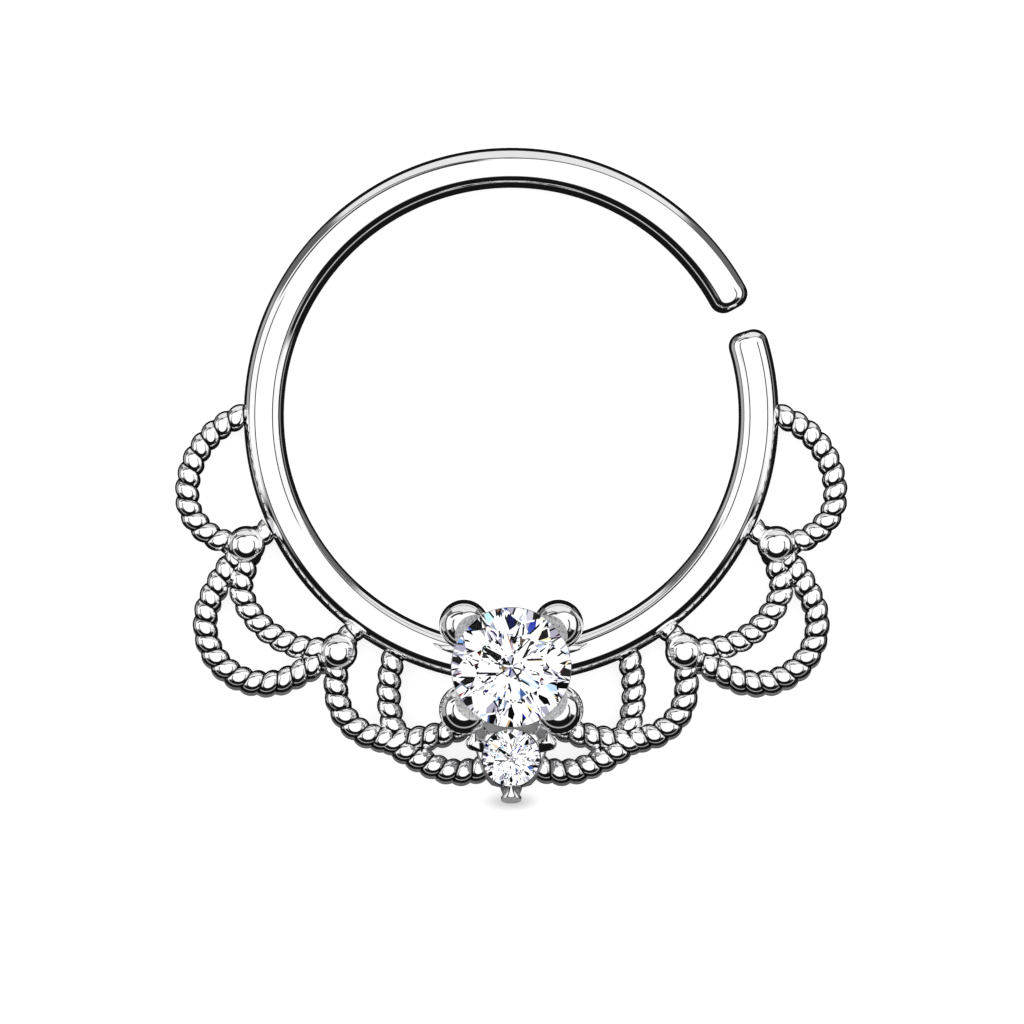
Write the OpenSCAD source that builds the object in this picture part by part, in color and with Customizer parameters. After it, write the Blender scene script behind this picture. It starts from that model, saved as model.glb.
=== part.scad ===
// Bendable hoop ring with twisted-wire lace, four beads and two round stones in claws.
// The ring lies on its back: the hoop is in the XY plane, +Y runs from the stones up to
// the top of the hoop, +Z faces whoever looks at the stones, and z = 0 is the surface
// that it rests on. The origin is the hoop's centre on that surface.

/* [Hoop] */
// Inside diameter of the hoop
hoop_inner_d = 9.5; // [9:0.25:10.5]
// Diameter of the hoop's wire
wire_d = 0.84; // [0.8:0.01:0.9]
// Radius that rounds the rim of each wire end
end_round = 0.3; // [0.2:0.02:0.38]
// Angle of the upper arm's tip, from the +X axis
upper_tip = 25.4; // [24:0.2:40]
// Angle of the lower arm's tip, from the +X axis
lower_tip = 19.8; // [12:0.2:21]

/* [Lace] */
// Diameter of the twisted wire over its bumps
rope_d = 0.52; // [0.48:0.01:0.56]
// Diameter of each polished bead
bead_d = 0.8; // [0.7:0.02:0.88]

/* [Stones] */
// Diameter of the large stone
large_stone_d = 2.5; // [2.4:0.05:2.6]
// Diameter of the small stone
small_stone_d = 1.2; // [1.1:0.02:1.24]
// Clearance between a stone and its seat
seat_gap = 0.02; // [0.01:0.005:0.03]

/* [Settings] */
// Diameter of the rounded head of a large claw
claw_d = 1.04; // [0.96:0.02:1.1]
// Angle of the large claws above and below the X axis
claw_angle = 42; // [40:0.5:46]
// How far a claw's lip reaches over the edge of its stone
lip = 0.03; // [0.03:0.005:0.06]

/* [Hidden] */

$fn = 48;

wire_r = wire_d / 2;
hoop_r = (hoop_inner_d + wire_d) / 2;
rope_r = rope_d / 2;
bead_r = bead_d / 2;

// The lace and the settings are drawn for a hoop 9.5 mm inside, and grow with it.
drawn_inner_d = 9.5;
grow = hoop_inner_d / drawn_inner_d;

// One turn of the twist, as a share of the twisted wire's diameter
turn_share = 0.627;
bump_step = rope_d * turn_share;

// Centre lines of the lace on the +X side: each is [start, arcs], where start is
// [x, y, heading in degrees] and each arc is [radius, turn in degrees], left positive.
RADIUS = 0;
TURN = 1;
upper_loop = [[5.37, 0.06, -11], [[1.72, -83.3], [0.81, -21], [1.12, -65]]];
middle_outer_loop = [[5.73, -2.93, -50], [[3.83, -15.9], [1.25, -140], [7.93, -5.9]]];
middle_inner_loop = [[5.53, -3.09, -73], [[5.05, -4.1], [0.65, -36], [1.72, -78]]];
lower_loop = [[3.65, -5.27, -84], [[2.58, -10.4], [1.08, -78], [3.01, -31], [9, -4]]];
upright = [[2.37, -4.82, -68], [[2.54, -41]]];
bottom_scallop = [[2.27, -6.96, -147], [[4.47, -10.2], [1.29, -49]]];
upper_stub = [[5.06, -2.38, -35], [[20, -1.6]]];
lower_stub = [[3.2, -4.35, -55], [[20, -1.6]]];
LACE = [upper_loop, middle_outer_loop, middle_inner_loop, lower_loop,
    upright, bottom_scallop, upper_stub, lower_stub];

// Beads on the +X side, as [x, y], and how high their centres stand
BEADS = [[5.53, -2.71], [3.61, -4.94]];
bead_z = 0.6;
bead_axis = 50;

// Proportions of a round brilliant, as shares of its radius, and its two angles
table_share = 0.57;
girdle_share = 0.06;
star_share = 0.763;
lower_half_share = 0.23;
crown_angle = 34.5;
pavilion_angle = 40.75;
facet_step = 45;
// How far the facets run past the girdle, so that the round girdle cuts them
facet_overrun = 1.025;

// Stones: where their axes stand, and the height of the girdle's upper edge
large_y = -5.24 * grow;
small_y = large_y - 1.89;
large_girdle_z = 2.04;
small_girdle_z = 1.45;
large_r = large_stone_d / 2;
small_r = small_stone_d / 2;

// A post's own radius as a share of the balls at its ends
leg_share = 0.92;

// Large setting
claw_r = claw_d / 2;
claw_out = large_r + 0.067;
claw_head_z = 1.77;
claw_foot_r = 0.26;
claw_foot_out = 0.9;
claw_foot_z = 0.36;
rail_thick = 0.13;
upper_rail_r = 1.02;
upper_rail_z = 1.42;
base_rail_r = 0.78;
base_rail_z = 0.5;
base_thick = 0.17;

// Small setting: a shield-shaped base, given by its +X corners around the stone's axis,
// and a round cup that stands in it
SHIELD = [[0.5, 0.6], [0.73, 0.16], [0.64, -0.19], [0.5, -0.47], [0.23, -0.76]];
shield_top_z = 0.9;
cup_rim_r = small_r + 0.08;
cup_low_r = 0.45;
cup_low_z = 0.6;
cup_side_z = 1;
cup_hole_r = 0.25;
cup_top_z = small_girdle_z - 0.03;
side_claw_r = 0.15;
side_claw_out = small_r + 0.2;
side_claw_angle = 158;
side_claw_z = 1.4;
side_claw_foot_out = 0.4;
side_claw_foot_z = 0.5;
tail_claw_tip_r = 0.1;
tail_claw_foot_r = 0.24;
tail_claw_tip_out = small_r + 0.06;
tail_claw_tip_z = 1.46;
tail_claw_foot_out = small_r + 0.13;
tail_claw_foot_z = 0.42;

// Bridge between the two settings, as half its width, its length and its heights
bridge_half_w = 0.55;
bridge_far_y = -0.9;
bridge_near_y = -1.5;
bridge_low_z = 0.3;
bridge_top_z = 1.25;

// Seat cutter: how far it clears a stone's point, and how high it opens above the girdle
point_clear = 0.06;
seat_open = 1;
lip_rise = lip * tan(crown_angle) + seat_gap;

// Length of one arc of a centre line
function arc_length(arc) = arc[RADIUS] * abs(arc[TURN]) * PI / 180;

// Length of a centre line from its arc number i on
function lace_length(arcs, i = 0) =
    i == len(arcs) ? 0 : arc_length(arcs[i]) + lace_length(arcs, i + 1);

// Place after going a distance along one arc: [x, y, heading]
function along_arc(place, arc, distance) =
    let (side = sign(arc[TURN]), heading = place[2] + side * distance / arc[RADIUS] * 180 / PI)
    [place[0] + side * arc[RADIUS] * (sin(heading) - sin(place[2])),
     place[1] - side * arc[RADIUS] * (cos(heading) - cos(place[2])),
     heading];

// Place after going a distance along a chain of arcs
function along_lace(place, arcs, distance, i = 0) =
    let (here = arc_length(arcs[i]))
    distance > here && i < len(arcs) - 1
        ? along_lace(along_arc(place, arcs[i], here), arcs, distance - here, i + 1)
        : along_arc(place, arcs[i], distance);

// A point at a radius, an angle and a height
function polar(r, angle, z) = [r * cos(angle), r * sin(angle), z];

// Height of a main facet's plane above the girdle, at a radius and an angle off its middle
function main_height(r, off, slope) = (1 - r * cos(off)) * tan(slope);

// One end of the wire: its rim is rounded and its middle left flat
module wire_end() {
    rotate_extrude() {
        square([wire_r - end_round, end_round]);
        intersection() {
            translate([wire_r - end_round, 0])
                circle(r = end_round);
            square([wire_r, end_round]);
        }
    }
}

// Round wire bent to a circle, open at the right between its two rounded ends
module hoop_wire() {
    end_turn = end_round / hoop_r * 180 / PI;
    first = upper_tip + end_turn;
    last = lower_tip - end_turn + 360;
    translate([0, 0, wire_r]) {
        rotate([0, 0, first])
            rotate_extrude(angle = last - first, $fn = 96)
                translate([hoop_r, 0])
                    circle(r = wire_r);
        rotate([0, 0, first])
            translate([hoop_r, 0, 0])
                rotate([90, 0, 0])
                    wire_end();
        rotate([0, 0, last])
            translate([hoop_r, 0, 0])
                rotate([-90, 0, 0])
                    wire_end();
    }
}

// Twisted wire along a centre line: each bump of the twist is a ball that overlaps the next
module twisted_wire(line, side) {
    bumps = floor(lace_length(line[1]) / bump_step * grow);
    for (i = [0:bumps]) {
        place = along_lace(line[0], line[1], i * bump_step / grow);
        translate([side * place[0] * grow, place[1] * grow, wire_r])
            rotate([0, 90, side > 0 ? place[2] : 180 - place[2]])
                sphere(r = rope_r, $fn = 24);
    }
}

// Polished bead in front of a joint of the lace, with its poles clear of the twisted wires
module bead(place, side) {
    translate([side * place[0] * grow, place[1] * grow, bead_z])
        rotate([0, -90, side > 0 ? bead_axis : 180 - bead_axis])
            sphere(r = bead_r);
}

// Tapered round post between two points, with a slightly wider ball at each end
module post(from, to, from_r, to_r) {
    along = to - from;
    height = norm(along);
    lean = acos(along[2] / height);
    way = atan2(along[1], along[0]);
    translate(from) {
        sphere(r = from_r);
        rotate([0, lean, way])
            cylinder(h = height, r1 = from_r * leg_share, r2 = to_r * leg_share);
    }
    translate(to)
        sphere(r = to_r);
}

// Four rounded claws on a basket of two rails that sits astride the hoop's wire
module large_setting() {
    translate([0, large_y, 0]) {
        for (angle = [claw_angle, 180 - claw_angle, 180 + claw_angle, -claw_angle])
            post(polar(claw_foot_out, angle, claw_foot_z), polar(claw_out, angle, claw_head_z),
                claw_foot_r, claw_r);
        translate([0, 0, upper_rail_z])
            rotate_extrude()
                translate([upper_rail_r, 0])
                    circle(r = rail_thick);
        translate([0, 0, base_rail_z])
            rotate_extrude()
                translate([base_rail_r, 0])
                    circle(r = base_thick);
    }
}

// Base, cup, two side claws and a tail claw, its base flat on the surface below
module small_setting() {
    other_side = [for (i = [len(SHIELD) - 1:-1:0]) [-SHIELD[i][0], SHIELD[i][1]]];
    translate([0, small_y, 0]) {
        linear_extrude(shield_top_z)
            difference() {
                polygon(concat(SHIELD, other_side));
                circle(r = cup_hole_r);
            }
        rotate_extrude()
            polygon([
                [cup_hole_r, cup_low_z],
                [cup_low_r, cup_low_z],
                [cup_rim_r, cup_side_z],
                [cup_rim_r, cup_top_z],
                [cup_hole_r, cup_top_z]]);
        for (angle = [side_claw_angle, 180 - side_claw_angle])
            post(polar(side_claw_foot_out, angle, side_claw_foot_z),
                polar(side_claw_out, angle, side_claw_z), side_claw_r, side_claw_r);
        post([0, -tail_claw_foot_out, tail_claw_foot_z], [0, -tail_claw_tip_out, tail_claw_tip_z],
            tail_claw_foot_r, tail_claw_tip_r);
    }
}

// Web that ties the small setting to the large one
module bridge() {
    translate([-bridge_half_w, large_y + bridge_near_y, bridge_low_z])
        cube([2 * bridge_half_w, bridge_far_y - bridge_near_y, bridge_top_z - bridge_low_z]);
}

// Space that a stone and the way down to it take out of its setting
module seat(r, girdle_z) {
    girdle_low = girdle_z - girdle_share * r;
    point_z = girdle_low - r * tan(pavilion_angle) - point_clear;
    rotate_extrude()
        polygon([
            [0, point_z],
            [r + seat_gap, girdle_low - seat_gap],
            [r + seat_gap, girdle_z],
            [r - lip, girdle_z + lip_rise],
            [r - lip + seat_open, girdle_z + lip_rise + seat_open],
            [0, girdle_z + lip_rise + seat_open]]);
}

// All of the metal, soldered into one piece
module metal_frame() {
    color("silver")
        difference() {
            union() {
                hoop_wire();
                for (side = [-1, 1])
                    for (place = BEADS)
                        bead(place, side);
                for (side = [-1, 1])
                    for (line = LACE)
                        twisted_wire(line, side);
                large_setting();
                small_setting();
                bridge();
            }
            translate([0, large_y, 0])
                seat(large_r, large_girdle_z);
            translate([0, small_y, 0])
                seat(small_r, small_girdle_z);
        }
}

// Planes of a round brilliant's facets, for a radius of 1 and the girdle's upper edge at 0
module facets() {
    crown_z = (1 - table_share) * tan(crown_angle);
    star_z = main_height(star_share, facet_step / 2, crown_angle);
    tip_z = -girdle_share - main_height(lower_half_share, facet_step / 2, pavilion_angle);
    point_z = -girdle_share - tan(pavilion_angle);
    over = facet_overrun - 1;
    rim_top_z = -star_z * over / (1 - star_share);
    rim_low_z = -girdle_share - (tip_z + girdle_share) * over / (1 - lower_half_share);
    mains = [0:7];
    halves = [0:15];
    points = concat(
        [for (i = mains) polar(table_share, i * facet_step, crown_z)],
        [for (i = mains) polar(star_share, (i + 0.5) * facet_step, star_z)],
        [for (i = mains) polar(1, i * facet_step, 0)],
        [for (i = halves) polar(facet_overrun, i * facet_step / 2, rim_top_z)],
        [for (i = halves) polar(facet_overrun, i * facet_step / 2, rim_low_z)],
        [for (i = mains) polar(1, i * facet_step, -girdle_share)],
        [for (i = mains) polar(lower_half_share, (i + 0.5) * facet_step, tip_z)],
        [[0, 0, point_z]]);
    // Where each kind of point starts in that list
    star = 8;
    girdle = 16;
    rim_top = 24;
    rim_low = 40;
    under = 56;
    tip = 64;
    point = 72;
    polyhedron(points, concat(
        [[for (i = [7:-1:0]) i]],
        [for (i = mains) [i, (i + 1) % 8, star + i]],
        [for (i = mains) [i, star + i, girdle + i, star + (i + 7) % 8]],
        [for (i = mains) [star + i, rim_top + 2 * i + 1, rim_top + 2 * i, girdle + i]],
        [for (i = mains) [star + (i + 7) % 8, girdle + i, rim_top + 2 * i, rim_top + (2 * i + 15) % 16]],
        [for (i = halves) [rim_top + i, rim_top + (i + 1) % 16, rim_low + (i + 1) % 16, rim_low + i]],
        [for (i = mains) [tip + i, under + i, rim_low + 2 * i, rim_low + 2 * i + 1]],
        [for (i = mains) [tip + (i + 7) % 8, rim_low + (2 * i + 15) % 16, rim_low + 2 * i, under + i]],
        [for (i = mains) [point, tip + (i + 7) % 8, under + i, tip + i]]));
}

// Round brilliant: flat facets above and below a round girdle
module brilliant(r) {
    intersection() {
        scale(r)
            facets();
        translate([0, 0, -2 * r])
            cylinder(h = 4 * r, r = r, $fn = 96);
    }
}

module large_stone() {
    color("white")
        translate([0, large_y, large_girdle_z])
            brilliant(large_r);
}

module small_stone() {
    color("white")
        translate([0, small_y, small_girdle_z])
            brilliant(small_r);
}

metal_frame();
large_stone();
small_stone();
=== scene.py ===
"""Bendable hoop ring with twisted-wire lace, four beads and two round stones in claws.

The ring lies on its back on a pale floor. The hoop is in the XY plane, +Y runs from the
stones up to the top of the hoop, +Z faces whoever looks at the stones, and z = 0 is the
surface that it rests on. Sizes below are in millimetres; each finished piece is brought
to metres as its last step.
"""

import logging
from contextlib import contextmanager
from dataclasses import dataclass, field
from enum import Enum
from math import atan2, ceil, copysign, cos, degrees, hypot, pi, radians, sin, sqrt, tan
from typing import Callable, Iterator, Sequence

import bpy
from mathutils import Matrix, Vector


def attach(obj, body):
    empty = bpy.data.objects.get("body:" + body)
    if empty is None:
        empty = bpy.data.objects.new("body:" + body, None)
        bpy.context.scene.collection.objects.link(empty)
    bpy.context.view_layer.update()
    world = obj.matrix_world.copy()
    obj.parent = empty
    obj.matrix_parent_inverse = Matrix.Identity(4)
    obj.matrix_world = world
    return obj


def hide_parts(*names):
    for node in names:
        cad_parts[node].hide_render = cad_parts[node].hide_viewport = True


Piece = bpy.types.Object
Material = bpy.types.Material
Node = bpy.types.Node
Socket = bpy.types.NodeSocket
Face = bpy.types.MeshPolygon
Pair = tuple[float, float]
Triple = tuple[float, float, float]
Ranges = tuple[float, float, float, float, float, float]
Place = Vector | Triple
Rings = list[tuple[float, Vector]]

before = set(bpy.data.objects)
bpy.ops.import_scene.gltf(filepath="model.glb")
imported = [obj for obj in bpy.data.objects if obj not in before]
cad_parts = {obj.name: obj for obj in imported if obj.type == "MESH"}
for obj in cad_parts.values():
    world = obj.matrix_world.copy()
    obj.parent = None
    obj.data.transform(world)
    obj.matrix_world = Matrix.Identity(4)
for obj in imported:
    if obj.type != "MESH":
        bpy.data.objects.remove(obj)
log = logging.getLogger("hoop_ring")

MM = 0.001
WIRE_R = 0.42
HOOP_R = 5.17
LARGE_Y = -5.24
SMALL_Y = -7.13
CAST_SMOOTH = 32


class Side(Enum):
    """Which half of the ring a piece is on."""

    RIGHT = 1
    LEFT = -1


class Slot(Enum):
    """The record's material slots."""

    METAL = "polished_metal"
    STONE = "clear_stone"


# Bench tools


def deselect_all() -> None:
    """Leaves object mode with nothing selected."""
    if bpy.context.object and bpy.context.object.mode != "OBJECT":
        bpy.ops.object.mode_set(mode="OBJECT")
    bpy.ops.object.select_all(action="DESELECT")


def pick(piece: Piece) -> None:
    """Selects piece alone, as the active object."""
    deselect_all()
    piece.select_set(True)
    bpy.context.view_layer.objects.active = piece


@contextmanager
def editing(piece: Piece, kind: str = "VERT", whole: bool = True) -> Iterator[None]:
    """Opens piece in edit mode for the length of a with block.

    Args:
        piece: the mesh to edit.
        kind: what is selected in it, VERT, EDGE or FACE.
        whole: selects all of it first; without it, what was selected stays so.

    Returns:
        Nothing; object mode is back at the end.
    """
    pick(piece)
    bpy.ops.object.mode_set(mode="EDIT")
    bpy.ops.mesh.select_mode(type=kind)
    if whole:
        bpy.ops.mesh.select_all(action="SELECT")
    try:
        yield
    finally:
        bpy.ops.object.mode_set(mode="OBJECT")


def bake_place(piece: Piece) -> Piece:
    """Moves the object's place, turn and scale into its mesh.

    Args:
        piece: the object.

    Returns:
        The same object, at the origin.
    """
    pick(piece)
    bpy.ops.object.transform_apply(location=True, rotation=True, scale=True)
    return piece


def primitive(name: str, operator: Callable[..., object], **settings: object) -> Piece:
    """Adds a primitive, with its place in its mesh.

    Args:
        name: the object's name.
        operator: the operator that adds it.
        settings: what the operator is given.

    Returns:
        The new object.
    """
    deselect_all()
    operator(**settings)
    piece = bpy.context.object
    piece.name = piece.data.name = name
    return bake_place(piece)


def modify(piece: Piece, kind: str, **settings: object) -> None:
    """Changes a mesh by one modifier, which is applied at once.

    Args:
        piece: the mesh.
        kind: the modifier's type.
        settings: its settings, by name.
    """
    pick(piece)
    modifier = piece.modifiers.new(kind, kind)
    for key, value in settings.items():
        setattr(modifier, key, value)
    bpy.ops.object.modifier_apply(modifier=modifier.name)


def combine(body: Piece, tool: Piece, how: str = "UNION") -> None:
    """Joins a tool to a body, or cuts it away, and removes the tool.

    Args:
        body: the mesh that is kept.
        tool: the mesh that is used up.
        how: UNION or DIFFERENCE.
    """
    modify(body, "BOOLEAN", operation=how, object=tool, solver="EXACT")
    bpy.data.objects.remove(tool)


def outward(piece: Piece, merge: float = 1e-5) -> None:
    """Merges doubles of a closed mesh, nearer than merge, and turns all faces outwards."""
    with editing(piece):
        bpy.ops.mesh.remove_doubles(threshold=merge)
        bpy.ops.mesh.normals_make_consistent(inside=False)


def cut_flat(piece: Piece, at: Place, away: Place, fill: bool = True) -> None:
    """Cuts a mesh by a plane and drops what is beyond it.

    Args:
        piece: the mesh.
        at: a point on the plane.
        away: the plane's normal, towards what is dropped.
        fill: closes the cut with a face.
    """
    with editing(piece):
        bpy.ops.mesh.bisect(plane_co=at, plane_no=away, use_fill=fill, clear_outer=True)


def draw_on(rings: Rings) -> None:
    """Extrudes what is selected in edit mode from ring to ring.

    Args:
        rings: radius and centre of each ring; the selection is the first.
    """
    for (r, centre), (next_r, next_centre) in zip(rings, rings[1:]):
        bpy.ops.mesh.extrude_region_move(TRANSFORM_OT_translate={"value": next_centre - centre})
        bpy.ops.transform.resize(value=(next_r / r,) * 3, center_override=next_centre)


def soften(piece: Piece, width: float, segments: int = 3, angle: float = 35) -> None:
    """Rounds the sharp edges of a mesh by a small bevel.

    Args:
        piece: the mesh.
        width: width of the bevel.
        segments: faces across it.
        angle: edges sharper than this, in degrees, are rounded.
    """
    modify(piece, "BEVEL", width=width, segments=segments, limit_method="ANGLE",
           angle_limit=radians(angle), use_clamp_overlap=True)


def copy_of(piece: Piece, name: str) -> Piece:
    """Copies a piece with its own mesh.

    Args:
        piece: the object to copy.
        name: the copy's name.

    Returns:
        The copy.
    """
    pick(piece)
    bpy.ops.object.duplicate(linked=False)
    twin = bpy.context.object
    twin.name = twin.data.name = name
    return twin


def drawn(name: str, rings: Rings, sides: int, turn: Triple = (0, 0, 0)) -> Piece:
    """Builds a round solid from ring to ring.

    Args:
        name: the object's name.
        rings: radius, above 0, and centre of each ring.
        sides: faces round it.
        turn: how the rings are turned from level, in radians.

    Returns:
        The closed solid.
    """
    piece = primitive(name, bpy.ops.mesh.primitive_circle_add, vertices=sides, rotation=turn,
                      radius=rings[0][0], fill_type="NGON", location=rings[0][1])
    with editing(piece, "FACE"):
        draw_on(rings)
    outward(piece)
    return piece


def ball(name: str, radius: float, at: Place, sides: int = 48) -> Piece:
    """Adds a ball round at, with sides faces round it."""
    return primitive(name, bpy.ops.mesh.primitive_uv_sphere_add, segments=sides,
                     ring_count=sides // 2, radius=radius, location=at)


def taper(name: str, low: Vector, high: Vector, low_r: float, high_r: float, sides: int = 48) -> Piece:
    """Adds a round tapered leg between two points.

    Args:
        name: the object's name.
        low: centre of its lower end.
        high: centre of its upper end.
        low_r: radius of its lower end.
        high_r: radius of its upper end.
        sides: faces round it.

    Returns:
        The leg.
    """
    along = high - low
    return primitive(name, bpy.ops.mesh.primitive_cone_add, vertices=sides, radius1=low_r,
                     radius2=high_r, depth=along.length, location=(low + high) / 2,
                     rotation=along.to_track_quat("Z", "Y").to_euler())


def box(name: str, low: Vector, high: Vector) -> Piece:
    """Adds a block between two corners."""
    return primitive(name, bpy.ops.mesh.primitive_cube_add, size=1, location=(low + high) / 2,
                     scale=high - low)


def polar(r: float, angle: float, z: float, centre_y: float = 0) -> Vector:
    """A point at a radius, an angle in degrees and a height round (0, centre_y)."""
    turn = radians(angle)
    return Vector((r * cos(turn), centre_y + r * sin(turn), z))


# Finishes


class NodeDesk:
    """Short calls that add and wire the nodes of one tree."""

    def __init__(self, tree: bpy.types.NodeTree) -> None:
        """Starts from an empty tree."""
        tree.nodes.clear()
        self.tree = tree

    def add(self, kind: str, settings: dict | None = None, **inputs: object) -> Node:
        """Adds a node.

        Args:
            kind: the node's type, without ShaderNode before it.
            settings: its own properties.
            inputs: values or sockets for its inputs, by name, with _ for a space, or i0, i1
                for an input by its number.

        Returns:
            The node.
        """
        node = self.tree.nodes.new("ShaderNode" + kind)
        for key, value in (settings or {}).items():
            setattr(node, key, value)
        for key, value in inputs.items():
            by_number = key[0] == "i" and key[1:].isdigit()
            socket = node.inputs[int(key[1:])] if by_number else node.inputs[key.replace("_", " ")]
            if isinstance(value, Socket):
                self.tree.links.new(value, socket)
            else:
                socket.default_value = value
        return node

    def sum(self, operation: str, *values: object) -> Socket:
        """A Math node's result.

        Args:
            operation: the node's operation.
            values: its inputs, numbers or sockets.

        Returns:
            The output socket.
        """
        inputs = {f"i{n}": value for n, value in enumerate(values)}
        return self.add("Math", {"operation": operation}, **inputs).outputs[0]

    def ramp(self, value: Socket, low: float, high: float,
             to_low: float = 0, to_high: float = 1) -> Socket:
        """A smooth step of a value.

        Args:
            value: the socket that is read.
            low: where the step starts.
            high: where it ends; it may be below low.
            to_low: what the step starts from.
            to_high: what it reaches.

        Returns:
            The output socket.
        """
        node = self.add("MapRange", {"interpolation_type": "SMOOTHSTEP"})
        if low > high:
            low, high, to_low, to_high = high, low, to_high, to_low
        for n, number in enumerate((low, high, to_low, to_high), 1):
            node.inputs[n].default_value = number
        self.tree.links.new(value, node.inputs[0])
        return node.outputs[0]

    def noise(self, where: Socket, scale: float, detail: float = 3) -> Socket:
        """A noise read at a place, from 0 to 1."""
        return self.add("TexNoise", Vector=where, Scale=scale, Detail=detail).outputs[0]

    def grey(self, value: Socket) -> Socket:
        """A grey of one value."""
        return self.add("CombineColor", i0=value, i1=value, i2=value).outputs[0]

    def blend(self, share: object, first: object, second: object) -> Socket:
        """A colour between two.

        Args:
            share: 0 for the first and 1 for the second, a number or socket.
            first: a colour of 3 numbers, or a socket.
            second: a colour of 3 numbers, or a socket.

        Returns:
            The output socket.
        """
        first, second = (one if isinstance(one, Socket) else (*one, 1) for one in (first, second))
        node = self.add("Mix", {"data_type": "RGBA"}, i0=share, i6=first, i7=second)
        return node.outputs[2]


@dataclass(frozen=True)
class Finish:
    """A material on Object coordinates; each kind of finish makes its own shader."""

    name: str

    def shader(self, desk: NodeDesk, where: Socket) -> Node:
        """Makes the shader; each kind of finish has its own."""
        raise NotImplementedError

    def material(self) -> Material:
        """Builds the material.

        Returns:
            The material.
        """
        made = bpy.data.materials.new(self.name)
        made.use_nodes = True
        desk = NodeDesk(made.node_tree)
        shader = self.shader(desk, desk.add("TexCoord").outputs["Object"])
        desk.add("OutputMaterial", Surface=shader.outputs[0])
        return made


@dataclass(frozen=True)
class PolishedMetal(Finish):
    """Bright hand-polished white metal, with faint swirls left by the buff."""

    name: str = "buffed_metal"
    bright: Triple = (0.95, 0.95, 0.955)
    dull: Triple = (0.90, 0.90, 0.91)
    metallic: float = 1.0
    smooth: float = 0.02
    rubbed: float = 0.07
    cloud_scale: float = 900
    clouded: Pair = (0.35, 0.75)
    hairline_scale: float = 5200
    hairline_turn: Triple = (0.3, 0.5, 0.8)
    hairline_stretch: Triple = (1, 0.22, 1)
    lined: Pair = (0.45, 0.7)
    worn: Pair = (0.3, 0.7)
    relief: float = 0.012
    relief_depth: float = 2e-5

    def shader(self, desk: NodeDesk, where: Socket) -> Node:
        """Makes the shader, clouded and brushed.

        Args:
            desk: the material's nodes.
            where: Object coordinates.

        Returns:
            The shader's node.
        """
        along = desk.add("Mapping", i0=where, Rotation=self.hairline_turn,
                         Scale=self.hairline_stretch).outputs[0]
        cloud = desk.noise(where, self.cloud_scale)
        hairline = desk.noise(along, self.hairline_scale, 2)
        colour = desk.blend(desk.ramp(cloud, *self.clouded), self.bright, self.dull)
        wear = desk.sum("MULTIPLY", desk.ramp(hairline, *self.lined), desk.ramp(cloud, *self.worn))
        rough = desk.ramp(wear, 0, 1, self.smooth, self.rubbed)
        bump = desk.add("Bump", Strength=self.relief, Distance=self.relief_depth, Height=hairline)
        return desk.add("BsdfPrincipled", Base_Color=self.darken(desk, colour),
                        Metallic=self.metallic, Roughness=rough, Normal=bump.outputs[0])

    def darken(self, desk: NodeDesk, colour: Socket) -> Socket:
        """Leaves the colour as it is; a finish with painted shade in its recesses changes it."""
        return colour


@dataclass(frozen=True)
class TwistedMetal(PolishedMetal):
    """The polished metal with painted shade, near black, at the bottom of its grooves."""

    name: str = "twisted_metal"
    groove_shade: Triple = (0.02, 0.02, 0.022)
    height_attribute: str = "ridge_height"
    dark_to: float = 0.12
    clear_from: float = 0.42

    def darken(self, desk: NodeDesk, colour: Socket) -> Socket:
        """Paints shade into the grooves.

        Args:
            desk: the material's nodes.
            colour: the metal's own colour.

        Returns:
            The colour with painted shade in the grooves.
        """
        # Painted shade: near black at the bottom of each groove, fading out towards the ridge.
        height = desk.add("Attribute", {"attribute_name": self.height_attribute})
        unshaded = desk.ramp(height.outputs["Fac"], self.dark_to, self.clear_from)
        return desk.blend(unshaded, self.groove_shade, colour)


@dataclass(frozen=True)
class ClearStone(Finish):
    """Clear cut stone, whose facets carry faint painted colours for dispersion fire in an attribute."""

    name: str = "cut_stone"
    ior: float = 2.15
    glint: float = 0.07
    haze_scale: float = 2500
    hazy: Pair = (0.4, 0.7)
    scuff_scale: float = 7000
    scuffed: tuple[float, float, float, float] = (0.6, 0.8, 0, 0.004)
    fire_tint_attribute: str = "facet_fire_tint"

    def shader(self, desk: NodeDesk, where: Socket) -> Node:
        """Makes the shader, which also reads the facets' painted fire colours.

        Args:
            desk: the material's nodes.
            where: Object coordinates.

        Returns:
            The shader's node.
        """
        # Painted fire: each facet's colour, faded to white by the haze, colours the clear stone.
        fire_tint = desk.add("Attribute", {"attribute_name": self.fire_tint_attribute}).outputs[0]
        haze = desk.ramp(desk.noise(where, self.haze_scale), *self.hazy)
        rough = desk.ramp(desk.noise(where, self.scuff_scale), *self.scuffed)
        shader = desk.add("BsdfPrincipled", Roughness=rough, Base_Color=desk.blend(haze, fire_tint, (1, 1, 1)))
        shader.inputs["Transmission Weight"].default_value = 1.0
        shader.inputs["IOR"].default_value = self.ior
        shader.inputs["Specular Tint"].default_value = (self.glint,) * 3 + (1,)
        return shader


@dataclass(frozen=True)
class FrostedEdge(Finish):
    """Ground edge of a stone, grey and unpolished."""

    name: str = "frosted_edge"
    light: Triple = (0.34, 0.34, 0.36)
    dark: Triple = (0.22, 0.22, 0.24)
    rough: float = 0.6
    grain_scale: float = 9000
    relief: float = 0.1
    relief_depth: float = 5e-6

    def shader(self, desk: NodeDesk, where: Socket) -> Node:
        """Makes the grainy shader.

        Args:
            desk: the material's nodes.
            where: Object coordinates.

        Returns:
            The shader's node.
        """
        grain = desk.noise(where, self.grain_scale)
        bump = desk.add("Bump", Strength=self.relief, Distance=self.relief_depth, Height=grain)
        return desk.add("BsdfPrincipled", Roughness=self.rough,
                        Base_Color=desk.blend(grain, self.light, self.dark), Normal=bump.outputs[0])


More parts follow.
